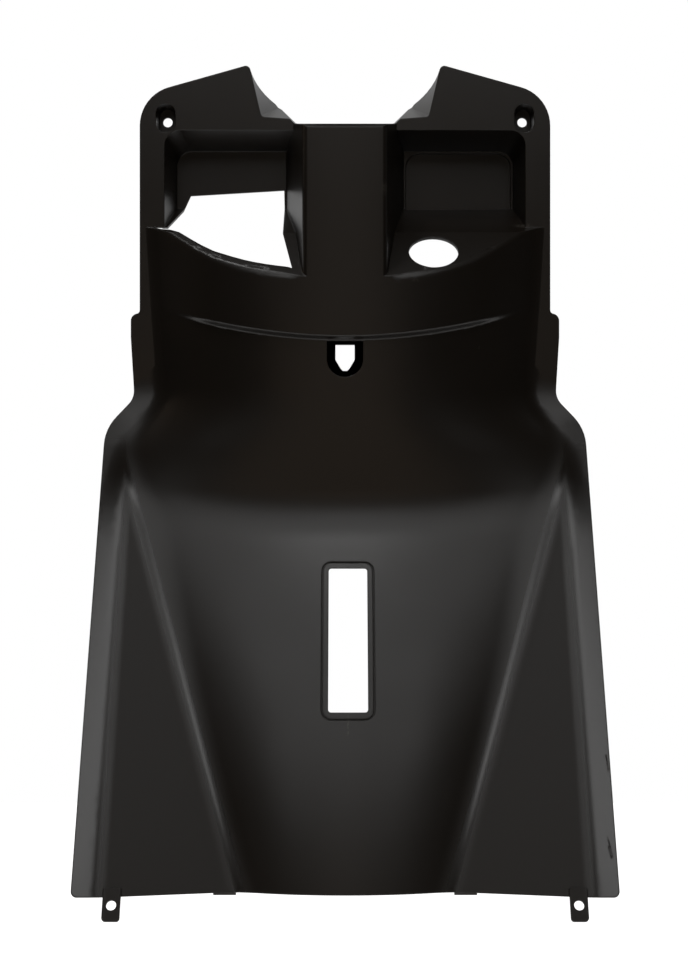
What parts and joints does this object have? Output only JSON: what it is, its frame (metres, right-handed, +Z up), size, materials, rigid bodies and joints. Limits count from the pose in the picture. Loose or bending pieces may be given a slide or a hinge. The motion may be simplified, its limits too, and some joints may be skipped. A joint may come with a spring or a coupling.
{
  "type": "scooter leg shield",
  "caption": "Moulded inner leg shield for a small scooter, with a steering column cover, an open and a closed pocket, an access slot, screw wells and fixing tabs.",
  "frame": {"origin": "midway between the two upper screw holes, on the seats that their screw heads bear on", "axes": "+X to the rider's right, -Y towards the rider, +Z up, as fitted"},
  "size_m": [0.452, 0.2823, 0.7553],
  "materials": {
    "polypropylene": "fine-grained moulded black polypropylene"
  },
  "bodies": {
    "root": {"leg_shield": "polypropylene"}
  },
  "joints": []
}
